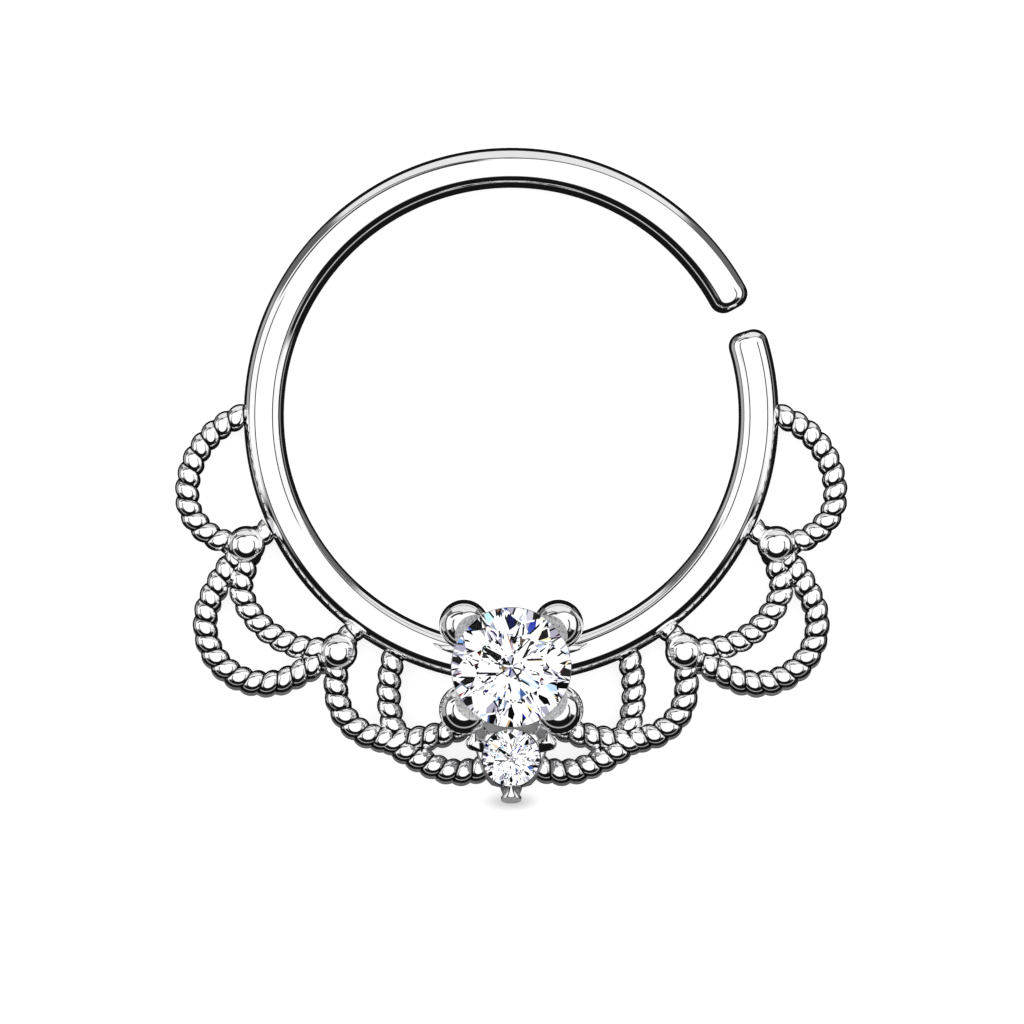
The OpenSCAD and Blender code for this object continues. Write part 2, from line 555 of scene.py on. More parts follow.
@dataclass(frozen=True)
class SatinMetal(PolishedMetal):
    """The same metal left satin, as cast, on flanks that the buff doesn't reach."""

    name: str = "satin_metal"
    bright: Triple = (0.66, 0.66, 0.67)
    dull: Triple = (0.55, 0.55, 0.56)
    metallic: float = 0.35
    smooth: float = 0.4
    rubbed: float = 0.55
    relief: float = 0.08


@dataclass(frozen=True)
class FiledSeat(SatinMetal):
    """Seats cut into the claws, rough, and mottled light and dark at a fine scale."""

    name: str = "filed_seat"
    bright: Triple = (0.97, 0.97, 0.98)
    dull: Triple = (0.36, 0.36, 0.37)
    smooth: float = 0.25
    rubbed: float = 0.5
    cloud_scale: float = 19000
    hairline_scale: float = 26000
    relief: float = 0.3


@dataclass(frozen=True)
class ShadedBack(SatinMetal):
    """Back of the cast wire, matt, its colour painted darker as shade where no light reaches."""

    name: str = "shaded_back"
    bright: Triple = (0.34, 0.34, 0.35)
    dull: Triple = (0.24, 0.24, 0.25)


@dataclass(frozen=True)
class PaleSheet(Finish):
    """Matt white sheet, lit from below, with a painted soft shadow under the tail claw that dims its
    glow.
    """

    name: str = "pale_sheet"
    white: Triple = (0.50, 0.50, 0.50)
    shade: Triple = (0.47, 0.47, 0.47)
    mottle_scale: float = 40
    rough: float = 0.9
    lit: float = 0.78
    # Place and half-sizes in millimetres, and depth, of the painted shadow.
    shadow_at: Pair = (0.0, -8.1)
    shadow_size: Pair = (0.85, 0.29)
    shadow_depth: float = 0.62

    def shader(self, desk: NodeDesk, where: Socket) -> Node:
        """Makes the shader, with the painted shadow in its glow.

        Args:
            desk: the material's nodes.
            where: Object coordinates.

        Returns:
            The shader's node.
        """
        # Painted shadow: the glow drops by up to shadow_depth inside an ellipse round shadow_at.
        spread = [1 / (MM * v) for v in self.shadow_size]
        place = [-MM * v * share for v, share in zip(self.shadow_at, spread)]
        near = desk.add("Mapping", i0=where, Scale=(*spread, 0), Location=(*place, 0))
        far = desk.add("VectorMath", {"operation": "LENGTH"}, i0=near.outputs[0])
        light = desk.ramp(far.outputs["Value"], 0, 1, 1 - self.shadow_depth, 1)
        mottle = desk.blend(desk.noise(where, self.mottle_scale), self.white, self.shade)
        shader = desk.add("BsdfPrincipled", Base_Color=mottle, Roughness=self.rough,
                          Emission_Color=desk.grey(light))
        shader.inputs["Emission Strength"].default_value = self.lit
        return shader


# Studio


@dataclass(frozen=True)
class Panel:
    """A pair of soft panels of the light tent, left and right, painted over those before.

    Angles are in degrees. high and low go round the ring, from the side of its top, 0, to
    the side of its stones, 180. start and end go down from straight above, and slant
    further for each degree round. With a side, only that half of the pair hangs.
    """

    high: float
    low: float
    start: float
    end: float
    glow: float
    soft: float = 1.6
    side_soft: float = 6.0
    slant: float = 0.0
    side: Side | None = None


@dataclass
class Sparkle:
    """What the stones throw back: bright and dark patches with coloured fringes."""

    scale: float = 4.0
    place: Triple = (0.6, 2.9, 5.3)
    spread: Triple = (-0.0028, 0.0, 0.0042)
    fade: float = 0.45
    dark_below: float = 0.46
    edge: float = 0.012
    dark: float = 0.004
    bright: float = 1.25
    veil: Triple = (0.38, 0.36, 0.45)
    veil_scale: float = 5.5
    veil_below: float = 0.39

    def colour(self, desk: NodeDesk, way: Socket) -> Socket:
        """Builds the patches on directions, each colour bent a little further.

        Args:
            desk: the world's nodes.
            way: the direction that is read.

        Returns:
            The colour.
        """
        parts = []
        for shift in self.spread:
            moved = desk.add("VectorMath", {"operation": "ADD"}, i0=way,
                             i1=[v + shift for v in self.place]).outputs[0]
            parts.append(desk.ramp(desk.noise(moved, self.scale, 1), self.dark_below - self.edge,
                                   self.dark_below + self.edge, self.dark, self.bright))
        mixed = desk.add("CombineColor", i0=parts[0], i1=parts[1], i2=parts[2]).outputs[0]
        muted = desk.blend(self.fade, mixed, desk.grey(parts[1]))
        veiled = desk.ramp(desk.noise(way, self.veil_scale, 1), self.veil_below - self.edge,
                           self.veil_below + self.edge)
        soft = desk.add("Mix", {"data_type": "RGBA", "blend_type": "MULTIPLY"},
                        i0=1.0, i6=muted, i7=(*self.veil, 1)).outputs[2]
        return desk.blend(veiled, soft, muted)


@dataclass
class Studio:
    """Light tent, pale sheet and camera."""

    panels: tuple[Panel, ...] = (
        Panel(-1, 181, -5, 50, 1.15, soft=6),
        Panel(-1, 43, 60, 114, 0.85, side_soft=10),
        Panel(42, 64, 84, 130, 0.14),
        Panel(-1, 66, -5, 52, 1.1, slant=0.55),
        Panel(-1, 66, 52, 58.5, 0.10, slant=0.55),
        Panel(6, 66, 44, 54, 0.03, slant=0.37, side=Side.LEFT),
        Panel(62, 131, 49, 55.5, 0.02),
        Panel(62, 108, 55.5, 90, 1.05),
        Panel(62, 108, 97, 120, 0.42, side=Side.LEFT),
        Panel(62, 108, 104, 112, 0.30, side=Side.RIGHT),
        Panel(104, 120, 55.5, 66, 0.4, side_soft=12),
        Panel(108, 181, 86, 95, 0.44, soft=4),
    )
    sparkle: Sparkle = field(default_factory=Sparkle)
    gloom: float = 0.008
    backdrop: float = 1.0
    middle_soft: float = 0.01
    floor_half: float = 400.0
    floor_cuts: int = 7
    lens: float = 300.0
    sensor: float = 36.0
    nearest: float = 0.01
    farthest: float = 10.0
    eye: Triple = (0.0157, -2.0229, 178.74)

    def light(self) -> None:
        """Builds the tent as the world, which reads only directions."""
        world = bpy.data.worlds.new("light_tent")
        bpy.context.scene.world = world
        world.use_nodes = True
        desk = NodeDesk(world.node_tree)
        where = desk.add("TexCoord").outputs["Generated"]
        way = desk.add("VectorMath", {"operation": "NORMALIZE"}, i0=where).outputs[0]
        x, y, z = desk.add("SeparateXYZ", i0=way).outputs
        down = desk.sum("DEGREES", desk.sum("ARCCOSINE", z))
        from_top = desk.sum("DEGREES", desk.sum("ARCTAN2", desk.sum("ABSOLUTE", x), y))
        glow: object = self.gloom
        for panel in self.panels:
            drop = desk.sum("SUBTRACT", down, desk.sum("MULTIPLY", from_top, panel.slant))
            half, side_half = panel.soft / 2, panel.side_soft / 2
            parts = [desk.ramp(drop, panel.start - half, panel.start + half),
                     desk.ramp(drop, panel.end + half, panel.end - half)]
            if panel.side:
                parts.append(desk.ramp(x, 0, self.middle_soft * panel.side.value))
            if panel.high > 0:
                parts.append(desk.ramp(from_top, panel.high - side_half, panel.high + side_half))
            if panel.low < 180:
                parts.append(desk.ramp(from_top, panel.low + side_half, panel.low - side_half))
            mask = parts[0]
            for part in parts[1:]:
                mask = desk.sum("MULTIPLY", mask, part)
            glow = desk.add("Mix", i0=mask, i2=glow, i3=panel.glow).outputs[0]
        ray = desk.add("LightPath").outputs
        lit = desk.blend(ray["Is Transmission Ray"], desk.grey(glow), self.sparkle.colour(desk, way))
        lit = desk.blend(ray["Is Camera Ray"], lit, (self.backdrop,) * 3)
        tent = desk.add("Background", Color=lit, Strength=1.0)
        desk.add("OutputWorld", Surface=tent.outputs[0])

    def floor(self) -> None:
        """Lays the pale sheet, which reaches far outside the view."""
        sheet = primitive("pale_floor", bpy.ops.mesh.primitive_plane_add, size=2 * self.floor_half)
        with editing(sheet, "FACE"):
            bpy.ops.mesh.subdivide(number_cuts=self.floor_cuts)
        sheet.scale = (MM,) * 3
        bake_place(sheet)
        sheet.data.materials.append(PaleSheet().material())
        sheet.visible_glossy = False

    def camera(self) -> None:
        """Hangs the camera straight above the ring."""
        deselect_all()
        bpy.ops.object.camera_add(location=[MM * v for v in self.eye], rotation=(0, 0, 0))
        camera, scene = bpy.context.object, bpy.context.scene
        camera.name = "camera"
        camera.data.lens, camera.data.sensor_width = self.lens, self.sensor
        camera.data.clip_start, camera.data.clip_end = self.nearest, self.farthest
        scene.camera = camera
        scene.view_settings.view_transform, scene.view_settings.look = "Standard", "None"

    def build(self) -> None:
        """Sets up light, floor and camera."""
        self.light()
        self.floor()
        self.camera()
        log.info("studio: %d panels, floor and camera", len(self.panels))


# Pieces


@dataclass
class Dresser:
    """Brings finished pieces to metres and gives them finish and body; the slot picks the finish."""

    metal: Material
    twisted: Material
    satin: Material
    seat: Material
    # back: the painted-shade finish, for backs and undersides.
    back: Material
    stone: Material
    edge: Material

    def finish(self, piece: Piece, name: str, slot: Slot, node: str, smooth: float | None) -> Piece:
        """Finishes one piece.

        Args:
            piece: the mesh, in millimetres, at the origin.
            name: its final name.
            slot: its material slot.
            node: the CAD node that it stands for.
            smooth: edges sharper than this stay sharp, in degrees; None leaves flat facets.

        Returns:
            The piece.
        """
        piece.name = piece.data.name = name
        piece.scale = (MM,) * 3
        bake_place(piece)
        if smooth is not None:
            pick(piece)
            bpy.ops.object.shade_smooth_by_angle(angle=radians(smooth))
        piece.data.materials.clear()
        piece.data.materials.append(self.metal if slot is Slot.METAL else self.stone)
        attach(piece, "root")
        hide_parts(node)
        log.info("%s: %d faces", name, len(piece.data.polygons))
        return piece

    def satin_facing(self, piece: Piece, way: Place, spread: float = 20) -> None:
        """Leaves the faces of a finished piece that look one way satin.

        Args:
            piece: the finished piece.
            way: the direction that they face.
            spread: how far off it they may face, in degrees.
        """
        towards, near = Vector(way).normalized(), cos(radians(spread))
        self.mark(piece, self.satin, lambda face: face.normal.dot(towards) > near)

    def mark(self, piece: Piece, material: Material, wanted: Callable[[Face], bool]) -> None:
        """Gives some faces of a finished piece another material.

        Args:
            piece: the finished piece.
            material: the material for them.
            wanted: tells for a face whether it gets it.
        """
        piece.data.materials.append(material)
        index = len(piece.data.materials) - 1
        for face in piece.data.polygons:
            if wanted(face):
                face.material_index = index

    def metal_piece(self, piece: Piece, name: str, smooth: float = CAST_SMOOTH) -> Piece:
        """Finishes a piece of the soldered metal."""
        return self.finish(piece, name, Slot.METAL, "metal_frame", smooth)


@dataclass
class Assembly:
    """A sub-assembly of the ring, whose pieces the dresser finishes."""

    dresser: Dresser

    def build(self) -> None:
        """Makes the pieces and finishes them; each sub-assembly has its own way."""
        raise NotImplementedError


@dataclass
class HoopWire(Assembly):
    """Round wire bent to a circle, open at the right between its rounded ends."""

    wire_r: float = WIRE_R
    hoop_r: float = HOOP_R
    upper_tip: float = 25.4
    lower_tip: float = 19.8
    end_round: float = 0.3
    sides: int = 64
    steps: int = 220
    near_end: float = 1e-3
    round_steps: int = 8
    smooth: float = 60

    def _round_end(self, piece: Piece, at_degrees: float, forward: int) -> None:
        """Draws one open end out to a rounded rim and closes it.

        Args:
            piece: the bent wire.
            at_degrees: where the end stands round the hoop.
            forward: 1 if the end points to rising angles, else -1.
        """
        centre = polar(self.hoop_r, at_degrees, self.wire_r)
        way = polar(forward, at_degrees + 90, 0)
        with editing(piece, "EDGE"):
            bpy.ops.mesh.select_all(action="DESELECT")
        for edge in piece.data.edges:
            ends = [piece.data.vertices[v].co - centre for v in edge.vertices]
            edge.select = all(abs(end.dot(way)) < self.near_end and end.length < 2 * self.wire_r
                              for end in ends)
        core, rings = self.wire_r - self.end_round, []
        for step in range(self.round_steps + 1):
            angle = pi / 2 * step / self.round_steps
            rings.append((core + self.end_round * cos(angle), centre + way * self.end_round * sin(angle)))
        with editing(piece, "EDGE", whole=False):
            draw_on(rings)
            bpy.ops.mesh.edge_face_add()

    def build(self) -> None:
        """Bends the wire, rounds its ends and finishes it."""
        end_turn = degrees(self.end_round / self.hoop_r)
        first, last = self.upper_tip + end_turn, self.lower_tip - end_turn + 360
        piece = primitive("wire", bpy.ops.mesh.primitive_circle_add, vertices=self.sides,
                          radius=self.wire_r, location=(self.hoop_r, 0, self.wire_r),
                          rotation=(pi / 2, 0, 0))
        with editing(piece):
            bpy.ops.transform.rotate(value=-radians(first), orient_axis="Z", center_override=(0, 0, 0))
            bpy.ops.mesh.spin(steps=self.steps, angle=-radians(last - first),
                              center=(0, 0, 0), axis=(0, 0, 1))
        self._round_end(piece, first, -1)
        self._round_end(piece, last, 1)
        outward(piece)
        self.dresser.metal_piece(piece, "hoop_wire", self.smooth)


@dataclass(frozen=True)
class TwistLine:
    """Centre line of one length of twisted wire on the right half.

    start is (x, y, heading in degrees); each arc is (radius, turn in degrees, left positive).
    """

    name: str
    start: Triple
    arcs: tuple[Pair, ...]

    def length(self) -> float:
        """Length of the whole line."""
        return sum(radius * radians(abs(turn)) for radius, turn in self.arcs)

    def points(self, step: float = 0.04) -> list[Vector]:
        """Points along the line.

        Args:
            step: distance between them.

        Returns:
            The points, evenly spaced on each arc.
        """
        x, y, heading = self.start
        made = [Vector((x, y, 0))]
        for radius, turn in self.arcs:
            side = copysign(1, turn)
            parts = max(2, round(radius * radians(abs(turn)) / step))
            before = radians(heading)
            for part in range(1, parts + 1):
                now = radians(heading + turn * part / parts)
                made.append(Vector((x + side * radius * (sin(now) - sin(before)),
                                    y - side * radius * (cos(now) - cos(before)), 0)))
            x, y, heading = made[-1].x, made[-1].y, heading + turn
        return made


@dataclass
class TwistedWire:
    """Twisted wire, whose ridge runs round it once for each bump."""

    outer_r: float = 0.26
    pitch: float = 0.326
    sides: int = 24
    profile_sides: int = 56
    spare: int = 2
    weld: float = 2e-4

    def straight(self, name: str, length: float) -> Piece:
        """Twists a straight length along +X.

        Args:
            name: the object's name.
            length: its length.

        Returns:
            The closed length, from x = 0.
        """
        half = self.pitch / 2
        piece = primitive(name, bpy.ops.mesh.primitive_circle_add,
                          vertices=self.profile_sides, radius=self.outer_r)
        for at, away in (((-half, 0, 0), (-1, 0, 0)), ((half, 0, 0), (1, 0, 0)), ((0, 0, 0), (0, -1, 0))):
            cut_flat(piece, at, away, fill=False)
        with editing(piece):
            bpy.ops.transform.translate(value=(-self.spare * self.pitch, 0, 0))
        modify(piece, "SCREW", axis="X", angle=2 * pi, screw_offset=self.pitch,
               iterations=ceil(length / self.pitch) + 2 * self.spare, steps=self.sides,
               render_steps=self.sides, use_merge_vertices=True, merge_threshold=self.weld / 2)
        cut_flat(piece, (0, 0, 0), (-1, 0, 0))
        cut_flat(piece, (length, 0, 0), (1, 0, 0))
        outward(piece, self.weld)
        self._mark_height(piece)
        return piece

    def _mark_height(self, piece: Piece) -> None:
        """Keeps on each vertex how high it stands between groove, 0, and ridge, 1.

        Args:
            piece: the straight length.
        """
        groove_r = sqrt(self.outer_r ** 2 - (self.pitch / 2) ** 2)
        layer = piece.data.attributes.new(TwistedMetal.height_attribute, "FLOAT", "POINT")
        for vertex, height in zip(piece.data.vertices, layer.data):
            r = hypot(vertex.co.y, vertex.co.z)
            height.value = (r - groove_r) / (self.outer_r - groove_r)

    def along(self, line: TwistLine) -> Piece:
        """Bends a length along its centre line.

        Args:
            line: the centre line.

        Returns:
            The bent length, at the hoop wire's height.
        """
        piece = self.straight(line.name, line.length())
        path = bpy.data.curves.new(line.name + "_path", "CURVE")
        path.dimensions = "2D"
        spline = path.splines.new("POLY")
        points = line.points()
        spline.points.add(len(points) - 1)
        for point, at in zip(spline.points, points):
            point.co = (*at, 1)
        guide = bpy.data.objects.new(line.name + "_path", path)
        bpy.context.scene.collection.objects.link(guide)
        modify(piece, "CURVE", object=guide, deform_axis="POS_X")
        bpy.data.objects.remove(guide)
        piece.location = (0, 0, WIRE_R)
        return bake_place(piece)


@dataclass
class Lace(Assembly):
    """Loops of twisted wire with four polished beads."""

    wire: TwistedWire
    lines: tuple[TwistLine, ...] = (
        TwistLine("upper_loop", (5.35, 0.06, -10), ((1.72, -84), (0.81, -21), (1.12, -69))),
        TwistLine("middle_outer_loop", (5.5, -2.68, -45), ((3.83, -21), (1.25, -140), (7.93, -8))),
        TwistLine("middle_inner_loop", (5.42, -2.77, -69), ((5.05, -8), (0.65, -36), (1.72, -78))),
        TwistLine("lower_loop", (3.59, -4.94, -76), ((2.58, -18), (1.08, -78), (3.01, -31), (9, -4))),
        TwistLine("upright", (2.36, -4.79, -67), ((2.54, -42),)),
        TwistLine("bottom_scallop", (2.52, -6.79, -143), ((4.47, -14), (1.29, -49))),
        TwistLine("upper_stub", (5.06, -2.38, -35), ((20, -1.6),)),
        TwistLine("lower_stub", (3.2, -4.35, -55), ((20, -1.6),)),
    )
    beads: tuple[tuple[str, float, float], ...] = (
        ("upper_bead", 5.53, -2.71), ("lower_bead", 3.61, -4.94))
    # Lengths that get a copy shifted down and back in the painted-shade finish, showing as a shaded rim
    # below them.
    backed: tuple[str, ...] = ("middle_outer_loop", "lower_loop", "bottom_scallop")
    back_shift: Triple = (0, -0.06, -0.13)
    bead_r: float = 0.4
    bead_z: float = 0.6
    bead_back_z: float = 0.24
    bead_sides: int = 72
    wire_smooth: float = 45
    bead_smooth: float = 60

    def _both_sides(self, piece: Piece, smooth: float, material: Material) -> None:
        """Finishes a right-hand piece and its mirrored copy.

        Args:
            piece: the piece on the right half, named without a side.
            smooth: edges sharper than this stay sharp, in degrees.
            material: its finish.
        """
        name = piece.name
        mirrored = copy_of(piece, name)
        mirrored.scale = (-1, 1, 1)
        bake_place(mirrored)
        outward(mirrored, 1e-6)
        for side, one in ((Side.RIGHT, piece), (Side.LEFT, mirrored)):
            self.dresser.metal_piece(one, f"{name}_{side.name.lower()}", smooth)
            one.data.materials[0] = material

    def build(self) -> None:
        """Makes every length and bead, and finishes them."""
        for line in self.lines:
            length = self.wire.along(line)
            if line.name in self.backed:
                # The copy in the painted-shade finish shows as a shaded rim below the length.
                back = copy_of(length, line.name + "_back")
                back.location = self.back_shift
                self._both_sides(bake_place(back), self.wire_smooth, self.dresser.back)
            self._both_sides(length, self.wire_smooth, self.dresser.twisted)
        for name, x, y in self.beads:
            bead = ball(name, self.bead_r, (x, y, self.bead_z), self.bead_sides)
            cut_flat(bead, (0, 0, self.bead_back_z), (0, 0, -1))
            self._both_sides(bead, self.bead_smooth, self.dresser.metal)


@dataclass
class StoneSize:
    """Place and proportions of a round brilliant, its angles in degrees."""

    name: str
    radius: float
    centre_y: float
    girdle_z: float
    gap: float = 0.02
    lip: float = 0.03
    table: float = 0.57
    girdle: float = 0.06
    star: float = 0.763
    lower_half: float = 0.23
    crown: float = 34.5
    pavilion: float = 40.75
    seat_sides: int = 96
    seat_below: float = 0.06
    seat_above: float = 1.0
    seat_tip: float = 0.002
    seat_tilt: float = 0.97

    def rise(self) -> float:
        """Height above the girdle at which the cutter widens again."""
        return self.lip * tan(radians(self.crown)) + self.gap

    def cut_seat(self, piece: Piece, merge: float = 1e-5) -> None:
        """Cuts the stone's seat into a piece.

        Args:
            piece: the piece.
            merge: how near two vertices are merged after it.
        """
        low = -self.girdle * self.radius
        point = low - self.radius * tan(radians(self.pavilion)) - self.seat_below
        rise, wide, mouth = self.rise(), self.radius + self.gap, self.radius - self.lip
        rings = [(r, Vector((0, self.centre_y, self.girdle_z)) + Vector((0, 0, z))) for r, z in (
            (self.seat_tip, point), (wide, low - self.gap), (wide, 0.0), (mouth, rise),
            (mouth + self.seat_above, rise + self.seat_above))]
        cutter = drawn("seat_cutter", rings, self.seat_sides)
        combine(piece, cutter, "DIFFERENCE")
        outward(piece, merge)

    def seated(self, face: Face) -> bool:
        """Tells whether a finished piece's face lies on the seat's upper cone.

        Args:
            face: the face.

        Returns:
            True if it does.
        """
        x, y, z = (v / MM for v in face.center)
        away = Vector((x, y - self.centre_y, 0))
        out = away.length - self.radius + self.lip
        tilt = face.normal.dot((Vector((0, 0, 1)) - away.normalized()) / sqrt(2))
        return tilt > self.seat_tilt and abs(out - (z - self.girdle_z - self.rise())) < self.gap


@dataclass
class Brilliant(Assembly):
    """Round brilliant cut from a plain round blank, facet by facet."""

    size: StoneSize
    name: str
    rim_sides: int = 96
    mains: int = 8
    edge_width: float = 0.016
    turn: float = 9.0
    spare: float = 0.1
    upright_below: float = 0.45
    rim_from: float = 0.99
    level_within: float = 0.02
    # Painted dispersion fire: faint colours laid on the facets, picked by each facet's turn and slope.
    fire_steps: tuple[int, int] = (3, 5)
    fire_tints: tuple[Triple, ...] = (
        (1, 1, 1), (0.90, 0.93, 1.0), (1, 1, 1), (1.0, 0.97, 0.90), (0.95, 0.92, 1.0),
        (1, 1, 1), (0.93, 0.98, 1.0), (1.0, 0.94, 0.92))

    def _height(self, r: float, off: float, slope: float) -> float:
        """Height of a main facet's plane past the girdle, for a stone of radius 1."""
        return (1 - r * cos(radians(off))) * tan(radians(slope))

    def _facet(self, piece: Piece, points: Sequence[Vector], up: bool) -> None:
        """Grinds one facet through three points.

        Args:
            piece: the stone, with a radius of 1.
            points: three points on the facet's plane.
            up: True on the crown, False on the pavilion.
        """
        normal = (points[1] - points[0]).cross(points[2] - points[0]).normalized()
        if (normal.z > 0) != up:
            normal = -normal
        cut_flat(piece, points[0], normal)

    def build(self) -> None:
        """Cuts the stone, paints fire colours on its facets and finishes it."""
        size, step = self.size, 360 / self.mains
        side = step / 2
        table_z = (1 - size.table) * tan(radians(size.crown))
        star_z = self._height(size.star, side, size.crown)
        tip_z = -size.girdle - self._height(size.lower_half, side, size.pavilion)
        point_z = -size.girdle - tan(radians(size.pavilion))
        piece = primitive(self.name, bpy.ops.mesh.primitive_cylinder_add, radius=1,
                          vertices=self.rim_sides, depth=table_z - point_z + self.spare,
                          location=(0, 0, (table_z + point_z) / 2))
        self._facet(piece, [polar(1, 90 * n, table_z) for n in range(3)], True)
        under = Vector((0, 0, point_z))
        for n in range(self.mains):
            here = step * n
            corner, next_corner = (polar(size.table, here + off, table_z) for off in (0, step))
            stars = [polar(size.star, here + off, star_z) for off in (-side, side)]
            tips = [polar(size.lower_half, here + off, tip_z) for off in (-side, side)]
            self._facet(piece, (corner, *stars), True)
            self._facet(piece, (under, *tips), False)
            self._facet(piece, (corner, next_corner, stars[1]), True)
            for off, star, tip in zip((-side, side), stars, tips):
                for z, inner, up in ((0, star, True), (-size.girdle, tip, False)):
                    self._facet(piece, (polar(1, here, z), inner, polar(1, here + off, z)), up)
        outward(piece, 1e-4)
        self._ground_edge(piece)
        piece.scale = (size.radius,) * 3
        piece.rotation_euler = (0, 0, radians(self.turn))
        piece.location = (0, size.centre_y, size.girdle_z)
        bake_place(piece)
        self._paint_fire(piece)
        self.dresser.finish(piece, self.name, Slot.STONE, size.name, None)
        self.dresser.mark(piece, self.dresser.edge, lambda face: abs(face.normal.z) < self.upright_below)

    def _ground_edge(self, piece: Piece) -> None:
        """Takes the sharp upper edge off the girdle.

        Args:
            piece: the stone, with a radius of 1.
        """
        deselect_all()
        for edge in piece.data.edges:
            ends = [piece.data.vertices[v].co for v in edge.vertices]
            level = abs(ends[0].z - ends[1].z) < self.level_within
            edge.select = level and all(
                hypot(end.x, end.y) > self.rim_from and end.z > -self.size.girdle / 2 for end in ends)
        with editing(piece, "EDGE", whole=False):
            bpy.ops.mesh.bevel(offset=self.edge_width, segments=1)
        outward(piece)

    def _paint_fire(self, piece: Piece) -> None:
        """Paints each facet a faint colour of its own, standing in for the stone's dispersion fire.

        Args:
            piece: the cut stone.
        """
        attribute, (around, upward) = ClearStone.fire_tint_attribute, self.fire_steps
        layer = piece.data.color_attributes.new(attribute, "FLOAT_COLOR", "CORNER")
        for face in piece.data.polygons:
            turn = degrees(atan2(face.center.y - self.size.centre_y, face.center.x))
            chosen = round(turn / (180 / self.mains)) * around + round(face.normal.z * upward)
            fire_tint = self.fire_tints[chosen % len(self.fire_tints)]
            for corner in face.loop_indices:
                layer.data[corner].color = (*fire_tint, 1)


@dataclass
class LargeSetting(Assembly):
    """Four heavy rounded claws on two round rails.

    head and foot are a claw's ends, each as radius, distance from the stone's axis and
    height; a rail is its name, radius, height and thickness.
    """

    stone: StoneSize
    claw_angle: float = 42
    head: Triple = (0.52, 1.317, 1.77)
    foot: Triple = (0.26, 0.9, 0.36)
    leg_share: float = 0.92
    head_sides: int = 72
    leg_sides: int = 64
    rail_sides: int = 96
    rail_section: int = 24
    rails: tuple[tuple[str, float, float, float], ...] = (
        ("upper_rail", 1.02, 1.42, 0.13), ("base_rail", 0.78, 0.5, 0.17))

    def _claw(self) -> Piece:
        """Makes the claw that stands on the +X axis of the stone.

        Returns:
            The claw, its seat cut.
        """
        (head, head_r), (foot, foot_r) = (
            (Vector((out, self.stone.centre_y, z)), r) for r, out, z in (self.head, self.foot))
        piece = ball("claw", head_r, head, self.head_sides)
        combine(piece, taper("leg", foot, head, foot_r * self.leg_share, head_r * self.leg_share,
                             self.leg_sides))
        combine(piece, ball("foot", foot_r, foot))
        self.stone.cut_seat(piece)
        return piece

    def build(self) -> None:
        """Makes the claws and rails, and finishes them."""
        y = self.stone.centre_y
        claw = self._claw()
        names = ("upper_right", "upper_left", "lower_left", "lower_right")
        angles = (self.claw_angle, 180 - self.claw_angle, 180 + self.claw_angle, -self.claw_angle)
        for name, angle in zip(names, angles):
            one = copy_of(claw, name)
            one.data.transform(
                Matrix.Translation((0, y, 0)) @ Matrix.Rotation(radians(angle), 4, "Z")
                @ Matrix.Translation((0, -y, 0)))
            self.dresser.metal_piece(one, f"large_claw_{name}")
            self.dresser.mark(one, self.dresser.seat, self.stone.seated)
        bpy.data.objects.remove(claw)
        for name, r, z, thick in self.rails:
            rail = primitive(name, bpy.ops.mesh.primitive_torus_add, major_radius=r,
                             minor_radius=thick, major_segments=self.rail_sides,
                             minor_segments=self.rail_section, location=(0, y, z))
            self.stone.cut_seat(rail)
            self.dresser.metal_piece(rail, f"large_{name}")


